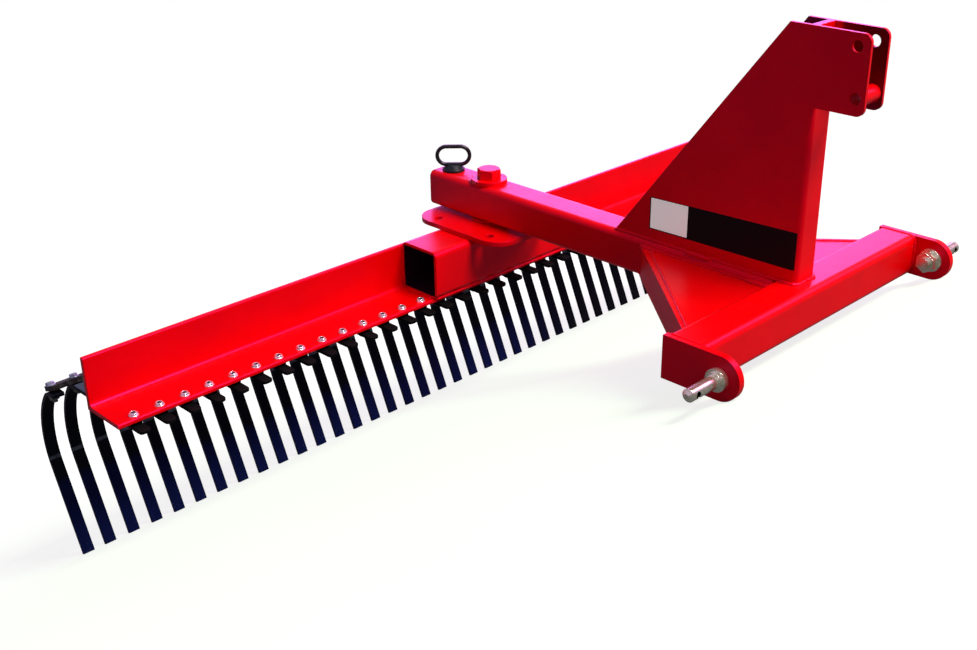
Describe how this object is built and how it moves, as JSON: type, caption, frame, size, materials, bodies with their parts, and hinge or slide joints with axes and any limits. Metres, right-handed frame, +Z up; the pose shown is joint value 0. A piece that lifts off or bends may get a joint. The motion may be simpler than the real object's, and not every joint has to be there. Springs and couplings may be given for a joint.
{
  "type": "landscape rake",
  "caption": "Three-point-hitch landscape rake: red frame with boom, mast and lift pins, and a swivelling angle-iron head with a row of curved black spring tines.",
  "frame": {"origin": "on the floor under the middle of the parked machine's box", "axes": "+Z up, +Y forward to the tractor, +X to the machine's right; the machine is tipped forward about X onto its tine tips and ears"},
  "size_m": [1.8918, 1.3106, 0.528],
  "materials": {
    "red_paint": "gloss",
    "tine_steel": "satin",
    "zinc_plate": "bright zinc plate",
    "black_loop": "satin"
  },
  "bodies": {
    "hitch_frame": {"boom_tube": "red_paint", "brace_bar_left": "red_paint", "brace_bar_right": "red_paint", "cross_tube": "red_paint", "ear_left": "red_paint", "ear_right": "red_paint", "gusset_plate_left": "red_paint", "gusset_plate_right": "red_paint", "index_pin": "black_loop", "king_bolt": "red_paint", "king_nut": "red_paint", "king_washer": "red_paint", "lift_pin_left": "zinc_plate", "lift_pin_nut_left": "zinc_plate", "lift_pin_nut_right": "zinc_plate", "lift_pin_right": "zinc_plate", "lift_pin_washer_left": "zinc_plate", "lift_pin_washer_right": "zinc_plate", "mast": "red_paint", "thrust_washer": "red_paint", "top_link_sleeve": "red_paint"},
    "rake_head": {"end_tine_left": "tine_steel", "end_tine_right": "tine_steel", "head_angle": "red_paint", "index_plate": "red_paint", "socket_tube": "red_paint", "tie_bar": "tine_steel", "tine_bank_left_1": "tine_steel", "tine_bank_left_2": "tine_steel", "tine_bank_left_3": "tine_steel", "tine_bank_right_1": "tine_steel", "tine_bank_right_2": "tine_steel", "tine_bank_right_3": "tine_steel"}
  },
  "joints": [
    {"name": "head_swivel", "type": "hinge", "parent": "hitch_frame", "child": "rake_head", "pos_m": [0, -0.33496, 0.35587], "axis": [0, 0.4224, 0.9064], "continuous": true}
  ]
}
